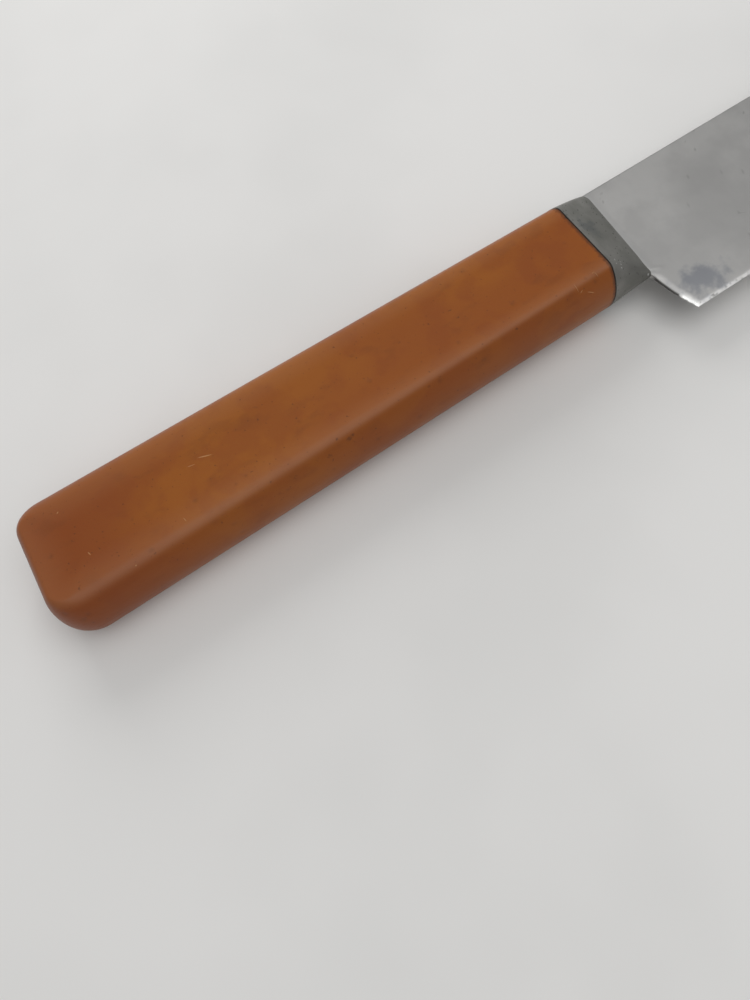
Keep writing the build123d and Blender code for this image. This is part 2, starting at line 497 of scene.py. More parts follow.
class Shade(Graph):
    """Shader tree of one material, which reads the piece's own coordinates."""

    def __init__(self, name: str) -> None:
        """Makes a material with a Principled shader.

        Args:
            name: The material's name.
        """
        self.material = bpy.data.materials.new(name)
        self.material.use_nodes = True
        super().__init__(self.material.node_tree)
        self.shader = self.tree.nodes["Principled BSDF"]
        own = self.node("ShaderNodeTexCoord").outputs["Object"]
        self.place = self.scaled(own, 1 / MM)

    def set(self, name: str, value: object) -> None:
        """Feeds one input of the shader."""
        self.feed(self.shader.inputs[name], value)

    def attribute(self, name: str) -> Field:
        """Reads a number that the shape's tree stored on the mesh."""
        made = self.node("ShaderNodeAttribute", attribute_name=name)
        return Field(self, made.outputs["Fac"])

    def tinted(self, under: object, over: object, share: Number) -> Socket:
        """Mixes a colour over another.

        Args:
            under: The lower colour.
            over: The upper colour.
            share: How much of the upper colour shows.

        Returns:
            The mixed colour.
        """
        inputs = {"Factor_Float": share, "A_Color": under, "B_Color": over}
        made = self.node("ShaderNodeMix", inputs, data_type="RGBA")
        return pick(made.outputs, "Result_Color")

    def layered(self, colour: object, *layers: tuple[object, Number]) -> object:
        """Lays colours over each other.

        Args:
            colour: The lowest colour.
            *layers: Colours from the lowest up, each with the share of it that shows.

        Returns:
            The mixed colour.
        """
        for over, share in layers:
            colour = self.tinted(colour, over, share)
        return colour

    def reach(self, centre: Point, half_sizes: Point, heading: float = 0.0) -> Field:
        """Measures how far each place is from the middle of an ellipsoid, whose skin is at 1.

        Args:
            centre: Middle of the ellipsoid.
            half_sizes: Its half sizes along its own axes.
            heading: How far it is turned about Z, in degrees.

        Returns:
            The distance as a field.
        """
        inputs = {
            "Vector": self.place,
            "Location": centre,
            "Rotation": (0.0, 0.0, math.radians(heading)),
            "Scale": half_sizes,
        }
        local = self.node("ShaderNodeMapping", inputs, vector_type="TEXTURE")
        length = self.node("ShaderNodeVectorMath", {0: local.outputs[0]}, operation="LENGTH")
        return Field(self, length.outputs["Value"])

    def scars(self, scars: tuple[Scar, ...]) -> Field:
        """Marks the places of scars.

        Args:
            scars: The scratches and chips.

        Returns:
            A field that is 1 on a scar and 0 elsewhere.
        """
        marked = self.math("ADD", 0.0, 0.0)
        for scar in scars:
            reach = self.reach(scar.centre, (scar.length / 2, scar.width / 2, 1.0), scar.heading)
            marked = self.math("MAXIMUM", marked, 1.0 - self.smooth(reach, 0.45, 1.0))
        return marked

    def bumps(self, *layers: tuple[Field, float]) -> None:
        """Gives the surface fine relief.

        Args:
            *layers: Heights from 0 to 1, each with its real height in millimetres.
        """
        normal = None
        for height, size in layers:
            inputs = {"Height": height, "Distance": size * MM, "Strength": 1.0}
            if normal is not None:
                inputs["Normal"] = normal
            normal = self.node("ShaderNodeBump", inputs).outputs[0]
        self.set("Normal", normal)


@dataclass(frozen=True)
class ResinFinish:
    """Aged cast phenolic resin: warm brown, redder at the butt, satin from handling.

    Its lighter polish colour along the upper half of the ridges is partly handling wear and partly
    a painted sheen.
    """

    name: str = "cast_resin"
    body: Colour = (0.262, 0.069, 0.0070, 1.0)
    amber: Colour = (0.290, 0.084, 0.0075, 1.0)
    red_brown: Colour = (0.212, 0.047, 0.0075, 1.0)
    patch: Colour = (0.160, 0.042, 0.0080, 1.0)
    grime: Colour = (0.060, 0.022, 0.0100, 1.0)
    fresh: Colour = (0.560, 0.300, 0.1300, 1.0)
    # partly handling wear and partly a painted sheen on the ridges
    sheen_and_polish: Colour = (0.420, 0.190, 0.0850, 1.0)
    roughness: float = 0.42
    butt_reach: float = 34.0
    seam_reach: float = 0.8
    ior: float = 1.38
    subsurface: float = 0.06
    subsurface_radius: Point = (1.0, 0.35, 0.1)
    subsurface_scale: float = 1.2
    scratch_height: float = 0.010
    cross_scratch_height: float = 0.007
    speck_height: float = 0.006
    scar_depth: float = 0.03
    scars: tuple[Scar, ...] = (
        Scar((-49.9, 7.2, 14.8), 0.55, 0.26, 30.0),
        Scar((-48.5, -2.8, 14.8), 0.95, 0.24, -75.0),
        Scar((-42.8, -9.1, 14.0), 0.50, 0.30, 10.0),
        Scar((-31.8, -6.8, 14.6), 1.10, 0.18, -80.0),
        Scar((-23.1, 1.7, 14.8), 3.20, 0.30, -20.0),
        Scar((-26.0, 1.5, 14.8), 1.80, 0.18, -12.0),
        Scar((51.6, -8.3, 14.2), 2.30, 0.15, -84.0),
        Scar((52.3, -9.2, 13.6), 0.80, 0.14, 20.0),
        Scar((56.4, -8.1, 14.2), 1.40, 0.15, -78.0),
        Scar((56.0, -7.6, 14.4), 0.80, 0.14, 10.0),
        Scar((54.2, -9.9, 12.6), 2.20, 0.13, -20.0),
    )
    marks: tuple[Scar, ...] = (
        Scar((-58.4, 5.8, 12.7), 1.60, 0.90, 75.0),
        Scar((-2.0, -8.8, 14.1), 0.90, 0.50, 20.0),
        Scar((0.3, -9.6, 13.6), 2.60, 0.80, 12.0),
        Scar((-4.5, -10.3, 13.2), 1.60, 0.80, -15.0),
        Scar((17.5, -9.3, 13.7), 0.80, 0.45, 0.0),
        Scar((33.0, 10.9, 11.6), 1.40, 0.50, 5.0),
    )

    def material(self) -> bpy.types.Material:
        """Builds the material.

        Returns:
            The material.
        """
        shade = Shade(self.name)
        along = shade.parts(shade.place)[0]
        clouds = shade.noise(shade.place, size=26.0, seed=3.1, detail=3.0, stretch=(1.6, 0.8, 1.0))
        fine_clouds = shade.noise(shade.place, size=6.0, seed=8.2, detail=4.0)
        patches = shade.noise(shade.place, size=3.2, seed=12.6, detail=3.0, stretch=(1.8, 1.0, 1.0))
        specks = shade.noise(shade.place, size=0.55, seed=4.4)
        scratches = shade.noise(shade.place, size=0.5, seed=5.0, detail=3.0, stretch=(14.0, 0.5, 1.0))
        cross_scratches = shade.noise(
            shade.place, size=0.45, seed=6.3, detail=3.0, stretch=(0.6, 11.0, 1.0)
        )
        butt, front = (corner.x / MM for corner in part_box("handle"))
        butt_place = along + (clouds - 0.5) * 30.0
        towards_butt = 1.0 - shade.smooth(butt_place, butt, butt + self.butt_reach)
        by_seam = along + (specks - 0.5) * self.seam_reach
        by_seam = shade.smooth(by_seam, front - self.seam_reach, front)
        ridge_wear_and_sheen = shade.attribute("ridge_wear_and_sheen")
        marked = shade.scars(self.marks) * shade.smooth(specks, 0.40, 0.66)
        scarred = shade.scars(self.scars)
        colour = shade.layered(
            self.body,
            (self.amber, shade.smooth(clouds, 0.42, 0.60)),
            (self.red_brown, towards_butt * 0.75),
            (self.red_brown, shade.smooth(fine_clouds, 0.46, 0.62) * 0.35),
            (self.patch, shade.smooth(patches, 0.54, 0.68) * 0.25),
            # painted sheen: the polish colour on the upper half of the ridges, partly real handling wear
            (self.sheen_and_polish, ridge_wear_and_sheen * 0.24),
            (self.grime, shade.smooth(specks, 0.66, 0.76) * 0.55),
            (self.grime, by_seam * 0.75),
            (self.grime, marked * 0.6),
            (self.grime, shade.attribute("pits_and_shade") * 0.25),
            (self.fresh, scarred * 0.55),
        )
        shade.set("Base Color", colour)
        wear = shade.smooth(scratches, 0.45, 0.8) * 0.10 + (fine_clouds - 0.5) * 0.14
        wear = wear + scarred * 0.2 - ridge_wear_and_sheen * 0.05
        shade.set("Roughness", shade.clamp(wear + self.roughness, 0.2, 0.9))
        shade.set("IOR", self.ior)
        shade.set("Subsurface Weight", self.subsurface)
        shade.set("Subsurface Radius", self.subsurface_radius)
        shade.set("Subsurface Scale", self.subsurface_scale * MM)
        shade.bumps(
            (scratches, self.scratch_height),
            (cross_scratches, self.cross_scratch_height),
            (specks, self.speck_height),
            (1.0 - scarred, self.scar_depth),
        )
        return shade.material


@dataclass(frozen=True)
class MetalFinish:
    """Worn metal with blotches of patina, fine grinding lines and dark pits.

    Its dark pit colour also paints the shade, and its bright colour the glints and highlights, that a
    piece stores with its pits and its bright wear.
    """

    name: str
    metal: Colour
    patina: Colour
    stain: Colour
    bright: Colour
    roughness: float
    lay: Lay
    # also paints the shade that a piece stores with its pits
    grime: Colour = (0.030, 0.028, 0.026, 1.0)
    metallic: float = 1.0
    blotch_size: float = 7.0
    patina_share: float = 0.6
    line_height: float = 0.0025
    grain_height: float = 0.004
    stain_centre: Point = (0.0, 0.0, 0.0)
    stain_reach: Point = (1.0, 1.0, 1.0)
    scars: tuple[Scar, ...] = ()

    def material(self) -> bpy.types.Material:
        """Builds the material.

        Returns:
            The material.
        """
        shade = Shade(self.name)
        blotches = shade.noise(shade.place, size=self.blotch_size, seed=2.7, detail=5.0)
        films = shade.noise(shade.place, size=self.blotch_size * 3.5, seed=9.1, detail=3.0)
        wisps = shade.noise(shade.place, size=self.blotch_size * 0.5, seed=5.5, detail=5.0)
        lines = shade.noise(shade.place, size=0.22, seed=7.7, detail=3.0, stretch=self.lay.value)
        grain = shade.noise(shade.place, size=0.35, seed=1.9, detail=3.0)
        reach = shade.reach(self.stain_centre, self.stain_reach)
        stained = 1.0 - shade.smooth(reach + (wisps - 0.5) * 4.0, 0.2, 1.2)
        # pits, with the painted shade that the bolster and the blade store among them
        pits_and_shade_share = shade.attribute("pits_and_shade")
        # scars, and the blade's bright bevel with its painted glint and painted highlight
        scarred = shade.math("MAXIMUM", shade.scars(self.scars), shade.attribute("bright_bevel_and_glints"))
        colour = shade.layered(
            self.metal,
            (self.patina, shade.smooth(blotches, 0.36, 0.66) * self.patina_share),
            (self.patina, shade.smooth(films, 0.36, 0.64) * self.patina_share),
            (self.stain, stained * 0.65),
            (self.grime, pits_and_shade_share),
            (self.bright, scarred),
        )
        shade.set("Base Color", colour)
        shade.set("Metallic", self.metallic)
        dullness = (blotches - 0.5) * 0.16 + (lines - 0.5) * 0.10 + pits_and_shade_share * 0.2
        shade.set("Roughness", shade.clamp(dullness - scarred * 0.12 + self.roughness, 0.12, 0.95))
        shade.bumps((lines, self.line_height), (grain, self.grain_height))
        return shade.material


@dataclass(frozen=True)
class CementFinish:
    """Dark brown cutler's cement, matt and granular."""

    name: str = "cutlers_cement"
    dark: Colour = (0.020, 0.011, 0.008, 1.0)
    light: Colour = (0.065, 0.036, 0.024, 1.0)
    grit_height: float = 0.05

    def material(self) -> bpy.types.Material:
        """Builds the material.

        Returns:
            The material.
        """
        shade = Shade(self.name)
        grit = shade.noise(shade.place, size=0.3, seed=4.8, detail=4.0)
        shade.set("Base Color", shade.tinted(self.dark, self.light, shade.smooth(grit, 0.4, 0.75)))
        shade.set("Roughness", shade.clamp(grit * 0.3 + 0.6, 0.5, 1.0))
        shade.bumps((grit, self.grit_height))
        return shade.material


@dataclass(frozen=True)
class TableFinish:
    """Pale, slightly uneven tabletop."""

    name: str = "pale_table"
    colour: Colour = (0.80, 0.79, 0.775, 1.0)
    shadowed: Colour = (0.75, 0.742, 0.727, 1.0)
    roughness: float = 0.55

    def material(self) -> bpy.types.Material:
        """Builds the material.

        Returns:
            The material.
        """
        shade = Shade(self.name)
        clouds = shade.noise(shade.place, size=60.0, seed=1.3, detail=3.0)
        shade.set("Base Color", shade.tinted(self.shadowed, self.colour, shade.smooth(clouds, 0.3, 0.62)))
        shade.set("Roughness", self.roughness)
        return shade.material


# --------------------------------------------------------------------------- pieces


@dataclass(frozen=True)
class Places:
    """Places along and across the knife in millimetres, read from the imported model."""

    butt: float
    handle_front: float
    seam: float
    tip: float
    spine: float
    belly: float
    edge: float
    middle: float
    toe_slant: ClassVar[float] = math.tan(math.radians(3.0))
    bolster_length: ClassVar[float] = 9.6

    @classmethod
    def read(cls) -> "Places":
        """Reads the places from the boxes of the CAD nodes.

        Returns:
            The places.
        """
        handle_low, handle_high = (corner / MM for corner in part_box("handle"))
        bolster_low, bolster_high = (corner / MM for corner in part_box("bolster"))
        blade_low, blade_high = (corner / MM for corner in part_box("blade"))
        return cls(
            butt=handle_low.x,
            handle_front=handle_high.x,
            seam=bolster_low.x,
            tip=blade_high.x,
            spine=bolster_high.y,
            belly=bolster_low.y,
            edge=blade_low.y,
            middle=(handle_low.z + handle_high.z) / 2,
        )

    def toe(self, y: Number) -> Number:
        """X of the bolster's slanted toe line at y."""
        return y * self.toe_slant + (self.seam + self.bolster_length)


@dataclass
class Piece:
    """A visible piece that stands for one CAD node and rides on the knife's only body."""

    finish: Union[ResinFinish, MetalFinish, CementFinish]
    places: Places
    name: ClassVar[str]
    node: ClassVar[str]
    slot: ClassVar[str]

    def shape(self, tree: ShapeTree) -> Socket:
        """Builds the rule that gives the piece its shape.

        Args:
            tree: The tree that the nodes go into.

        Returns:
            The shaped geometry.
        """
        raise NotImplementedError

    def extend(self, mesh: bmesh.types.BMesh) -> None:
        """Adds parts that the rule doesn't make. Most pieces have none."""

    def build(self) -> bpy.types.Object:
        """Makes the piece, cleans its mesh and hides the CAD node that it stands for.

        Returns:
            The finished piece.
        """
        tree = ShapeTree(self.name + "_rule")
        piece = tree.made(self.shape(tree), self.name, self.finish.material())
        mesh = bmesh.new()
        mesh.from_mesh(piece.data)
        bmesh.ops.dissolve_degenerate(mesh, dist=MERGE_DISTANCE / 3, edges=mesh.edges[:])
        self.extend(mesh)
        bmesh.ops.recalc_face_normals(mesh, faces=mesh.faces[:])
        for face in mesh.faces:
            face.smooth = True
        for edge in mesh.edges:
            edge.smooth = edge.calc_face_angle(0.0) < SHARP_ANGLE
        open_edges = sum(not edge.is_manifold for edge in mesh.edges)
        mesh.to_mesh(piece.data)
        mesh.free()
        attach(piece, "root")
        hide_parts(self.node)
        LOG.info("%s: %d faces, %d open edges", self.name, len(piece.data.polygons), open_edges)
        return piece


@dataclass
class Handle(Piece):
    """Slab handle whose bowed edge runs along both sides and round the butt, with the tang's hole."""

    butt_height: float = 26.4
    front_height: float = 22.9
    butt_rise: float = 0.8
    butt_slant: float = 3.5
    butt_setback: float = 0.41
    spine_corner_radius: float = 6.2
    belly_corner_radius: float = 7.0
    thickness: float = 14.8
    crown: float = 3.4
    ridge_radius: float = 2.4
    butt_ridge_radius: float = 3.8
    soft_length: float = 95.0
    edge_depth: float = 5.1
    end_depth: float = 0.5
    hole_radius: float = 4.8
    hole_depth: float = 90.0
    drill_point: float = 2.9
    waviness: float = 0.10
    dents_per_cm2: float = 1.1
    dent_radius: float = 0.75
    dent_depth: float = 0.05
    chip_depth: float = 1.5
    chip_reach: float = 0.6
    name: ClassVar[str] = "handle_slab"
    node: ClassVar[str] = "handle"
    slot: ClassVar[str] = "handle_resin"
    columns: ClassVar[int] = 104

    def shape(self, tree: ShapeTree) -> Socket:
        """Builds the slab by carrying its edge round the outline, and closes its front.

        Args:
            tree: The tree that the nodes go into.

        Returns:
            The shaped geometry.
        """
        front = tree.size("Front", self.places.handle_front)
        section = SlabRule(
            tree.size("Front height", self.front_height) * 0.5,
            tree.size("Thickness", self.thickness) * 0.5,
            tree.size("Side crown", self.crown),
            tree.size("Ridge radius", self.ridge_radius),
        )
        outside = self.edge_round_outline(tree, section, front)
        inside = self.drilled_front(tree, section, front)
        return self.worn(tree, tree.joined(outside, inside))

    def edge_round_outline(self, tree: ShapeTree, section: SlabRule, front: Field) -> Socket:
        """Carries the bowed edge from the front along the spine side, round the butt and back.

        Args:
            tree: The tree that the nodes go into.
            section: The slab's section at the front.
            front: X of the front face.

        Returns:
            The slab, open at the front.
        """
        stages = {"spine_side": 220, "spine_corner": 26, "end": 44, "belly_corner": 26, "belly_side": 220}
        mesh, around, shares = tree.sheet(stages, self.columns)
        spine_side, spine_corner, end, belly_corner, belly_side = shares
        spine_radius = tree.size("Spine corner radius", self.spine_corner_radius)
        belly_radius = tree.size("Belly corner radius", self.belly_corner_radius)
        radius = blend(spine_radius, belly_radius, end)
        rise = tree.size("Butt rise", self.butt_rise)
        butt_half = tree.size("Butt height", self.butt_height) * 0.5
        slant = tree.size("Butt slant", math.radians(self.butt_slant))
        middle = tree.size("Butt middle", self.places.butt + self.butt_setback)
        slant_run = tree.math("TANGENT", slant)
        slant_cosine = tree.math("COSINE", slant)

        length = front - middle
        spine_y = blend(rise + butt_half, section.half_height, spine_radius / length) - spine_radius
        belly_y = blend(rise - butt_half, -section.half_height, belly_radius / length) + belly_radius
        spine_x = middle + (spine_y - rise) * slant_run + spine_radius / slant_cosine
        belly_x = middle + (belly_y - rise) * slant_run + belly_radius / slant_cosine
        turn = spine_corner * (QUARTER_TURN - slant) + belly_corner * (QUARTER_TURN + slant)
        turn = turn - QUARTER_TURN
        inward_x, inward_y = tree.math("COSINE", turn), tree.math("SINE", turn)
        ahead = 1.0 - spine_side
        apex_x = blend(spine_x, belly_x, end) - inward_x * radius
        apex_x = apex_x + ahead * (front - spine_x) + belly_side * (front - belly_x)
        apex_y = blend(spine_y, belly_y, end) - inward_y * radius
        apex_y = apex_y + ahead * (section.half_height - spine_y - spine_radius)
        apex_y = apex_y - belly_side * (section.half_height + belly_y - belly_radius)

        forward = ahead + belly_side
        soft = forward * length / tree.size("Soft length", self.soft_length)
        soft = 1.0 - tree.clamp(soft, 0.0, 1.0)
        butt_ridge_radius = tree.size("Butt ridge radius", self.butt_ridge_radius)
        ridge_radius = blend(section.ridge_radius, butt_ridge_radius, soft)
        out, up, ridge = replace(section, ridge_radius=ridge_radius).walked(tree, around * 0.5)
        depth = section.half_height - out
        edge_depth = tree.size("Edge depth", self.edge_depth)
        flat = tree.clamp((depth - edge_depth) / (section.half_height - edge_depth), 0.0, 1.0)
        depth = tree.math("MINIMUM", depth, edge_depth)
        depth = depth * (1.0 - inward_x * inward_x * tree.size("End depth", self.end_depth))
        x = blend(apex_x + inward_x * depth, blend(middle + butt_half, front, forward), flat)
        y = blend(apex_y + inward_y * depth, blend(rise, 0.0, forward), flat)
        # ridge share for the handling wear and the painted sheen
        mesh = tree.remembered(mesh, "ridge_wear_and_sheen", ridge)
        mesh = tree.remembered(mesh, "outside", tree.math("ADD", 1.0, 0.0))
        return tree.flipped(tree.bent(mesh, x, y, up + self.places.middle))

    def drilled_front(self, tree: ShapeTree, section: SlabRule, front: Field) -> Socket:
        """Builds the front face and the drilled hole behind it.

        Args:
            tree: The tree that the nodes go into.
            section: The slab's section at the front.
            front: X of the front face.

        Returns:
            The front face with its hole.
        """
        stages = {"front": 9, "hole": 10, "point": 2}
        mesh, around, (inner, bore, point) = tree.sheet(stages, 2 * self.columns)
        out, up, _ = section.walked(tree, around)
        hole = tree.size("Hole radius", self.hole_radius)
        turn = around * math.tau
        y = blend(out, tree.math("SINE", turn) * hole, inner) * (1.0 - point)
        z = blend(up, tree.math("COSINE", turn) * hole, inner) * (1.0 - point)
        x = front - bore * self.hole_depth - point * self.drill_point
        return tree.bent(mesh, x, y, z + self.places.middle)

    def worn(self, tree: ShapeTree, mesh: Socket) -> Socket:
        """Adds slow waves from hand polishing, small dents, and chips along the front edge.

        Args:
            tree: The tree that the nodes go into.
            mesh: The clean slab.

        Returns:
            The worn slab.
        """
        keep = tree.recalled("outside")
        place = tree.place_mm()
        along = tree.parts(place)[0]
        waves = tree.noise(place, size=22.0, seed=1.7, detail=1.0, stretch=(1.8, 1.0, 1.0))
        density = tree.size("Dents per square centimetre", self.dents_per_cm2)
        dents = tree.pits(mesh, density, radius=self.dent_radius, seed=11)
        mesh = tree.remembered(mesh, "pits_and_shade", dents * keep)
        chips = tree.math("MAXIMUM", tree.noise(place, size=1.1, seed=6.9) - 0.56, 0.0)
        front = self.places.handle_front
        chips = chips * tree.smooth(along, front - self.chip_reach, front)
        depth = waves * tree.size("Waviness", self.waviness)
        depth = depth + tree.recalled("pits_and_shade") * tree.size("Dent depth", self.dent_depth)
        depth = depth + chips * tree.size("Chip depth", self.chip_depth)
        return tree.pressed(mesh, depth * keep)


@dataclass
class Bolster(Piece):
    """Cast wedge from the handle's section down to a thin toe on the blade."""

    thickness: float = 14.8
    toe_thickness: float = 2.5
    crown: float = 3.4
    toe_crown: float = 0.5
    ridge_radius: float = 2.4
    toe_ridge_radius: float = 0.45
    edge_radius: float = 0.07
    toe_spread: float = 0.2
    toe_corner: float = 1.1
    toe_corner_reach: float = 2.2
    pits_per_cm2: float = 26.0
    pit_radius: float = 0.24
    pit_depth: float = 0.05
    unevenness: float = 0.07
    hollow_depth: float = 0.40
    hollow_setback: float = 2.4
    hollow_rise: float = 2.6
    name: ClassVar[str] = "bolster_wedge"
    node: ClassVar[str] = "bolster"
    slot: ClassVar[str] = "bolster_metal"
    columns: ClassVar[int] = 300

    def shape(self, tree: ShapeTree) -> Socket:
        """Builds the wedge between its back face and its toe.

        Args:
            tree: The tree that the nodes go into.

        Returns:
            The shaped geometry.
        """
        stages = {"back": 8, "back_edge": 3, "wedge": 62, "toe_edge": 3, "toe": 6}
        mesh, around, (back, back_turn, wedge, toe_turn, toe) = tree.sheet(stages, self.columns)
        half_height = tree.size("Height", self.places.spine - self.places.belly) * 0.5
        ease = tree.size("Edge radius", self.edge_radius)
        back_turn = back_turn * QUARTER_TURN
        toe_turn = toe_turn * QUARTER_TURN
        eased = ease * (2.0 - tree.math("SINE", back_turn) - tree.math("COSINE", toe_turn))
        thickness = tree.size("Back thickness", self.thickness)
        thickness = blend(thickness, tree.size("Toe thickness", self.toe_thickness), wedge)
        crown = tree.size("Back crown", self.crown)
        crown = blend(crown, tree.size("Toe crown", self.toe_crown), wedge)
        ridge_radius = tree.size("Back ridge radius", self.ridge_radius)
        ridge_radius = blend(ridge_radius, tree.size("Toe ridge radius", self.toe_ridge_radius), wedge)
        section = SlabRule(half_height - eased, thickness * 0.5 - eased, crown, ridge_radius)
        out, up, _ = section.walked(tree, around)
        up = up * (1.0 + wedge * out / half_height * tree.size("Toe spread", self.toe_spread))
        out = out * back * (1.0 - toe)
        up = up * back * (1.0 - toe)
        forward = ease * (1.0 - tree.math("COSINE", back_turn)) + ease * tree.math("SINE", toe_turn)
        length = out * self.places.toe_slant + (self.places.bolster_length - 2 * self.edge_radius)
        corner = (out - half_height) / tree.size("Toe corner reach", self.toe_corner_reach)
        corner = tree.clamp(corner + 1.0, 0.0, 1.0)
        length = length - corner * corner * tree.size("Toe corner", self.toe_corner)
        x = self.places.seam + forward + wedge * length
        return self.cast(tree, tree.bent(mesh, x, out, up + self.places.middle))

    def cast(self, tree: ShapeTree, mesh: Socket) -> Socket:
        """Adds the casting's pits, its uneven face and the filed hollow by the choil, with painted shade.

        The painted shade darkens the low belly flank and the hollow, and is stored with the pits.

        Args:
            tree: The tree that the nodes go into.
            mesh: The clean wedge.

        Returns:
            The wedge as cast.
        """
        place = tree.place_mm()
        x, y, _ = tree.parts(place)
        density = tree.size("Pits per square centimetre", self.pits_per_cm2)
        pits = tree.pits(mesh, density, radius=self.pit_radius, seed=5)
        waves = tree.noise(place, size=4.0, seed=6.6)
        off_x = x - (self.places.toe(self.places.belly) - self.hollow_setback)
        off_y = y - (self.places.belly + self.hollow_rise)
        hollow = tree.math("EXPONENT", -(off_x * off_x / 5.0 + off_y * off_y / 2.2))
        hollow_depth = hollow * tree.size("Hollow depth", self.hollow_depth)
        # painted shade: darker colour on the low belly flank and in the hollow, stored with the pits
        flank = 1.0 - tree.smooth(y, self.places.belly + 1.6, self.places.belly + 4.6)
        shadowed = flank * 0.22 + hollow * 0.12
        mesh = tree.remembered(mesh, "pits_and_shade", tree.math("MAXIMUM", pits, shadowed))
        depth = pits * tree.size("Pit depth", self.pit_depth) + hollow_depth
        return tree.pressed(mesh, depth + waves * tree.size("Unevenness", self.unevenness))


@dataclass
class Cement(Piece):
    """Cement round the tang, with the thin uneven layer that shows in the seam."""

    height: float = 22.9
    thickness: float = 14.8
    crown: float = 3.4
    ridge_radius: float = 2.1
    inset: float = 0.03
    shrinkage: float = 0.30
    hole_radius: float = 4.79
    hole_depth: float = 90.0
    drill_point: float = 2.9
    name: ClassVar[str] = "seam_cement"
    node: ClassVar[str] = "tang_cement"
    slot: ClassVar[str] = "cement"
    columns: ClassVar[int] = 260

    def shape(self, tree: ShapeTree) -> Socket:
        """Builds the seam's layer and the filling of the drilled hole.

        Args:
            tree: The tree that the nodes go into.

        Returns:
            The shaped geometry.
        """
        stages = {"front": 6, "rim": 4, "back": 6, "hole": 10, "point": 2}
        mesh, around, (front, rim, back, bore, point) = tree.sheet(stages, self.columns)
        turn = around * math.tau
        sine, cosine = tree.math("SINE", turn), tree.math("COSINE", turn)
        round_the_seam = tree.vector(sine * 40.0, cosine * 40.0, rim)
        shrink = tree.noise(round_the_seam, size=6.0, seed=2.2, detail=5.0)
        shrink = shrink * tree.size("Shrinkage", self.shrinkage) + tree.size("Inset", self.inset)
        section = SlabRule(
            tree.size("Height", self.height) * 0.5 - shrink,
            tree.size("Thickness", self.thickness) * 0.5 - shrink,
            tree.size("Crown", self.crown),
            tree.size("Ridge radius", self.ridge_radius),
        )
        out, up, _ = section.walked(tree, around)
        hole = tree.size("Hole radius", self.hole_radius)
        out = blend(out * front, sine * hole, back) * (1.0 - point)
        up = blend(up * front, cosine * hole, back) * (1.0 - point)
        layer = tree.size("Layer", self.places.seam - self.places.handle_front)
        x = self.places.seam - rim * layer - bore * self.hole_depth - point * self.drill_point
        return tree.flipped(tree.bent(mesh, x, out, up + self.places.middle))


@dataclass(frozen=True)
class BladeSpot:
    """A place on the ground blade. Down and above count from the spine and from the edge.

    Ahead counts from the heel, below is the share of the way from the belly's level to the edge's,
    and bevel is how tall the sharpened bevel is there.
    """

    x: Field
    y: Field
    down: Field
    above: Field
    ahead: Field
    below: Field
    bevel: Field


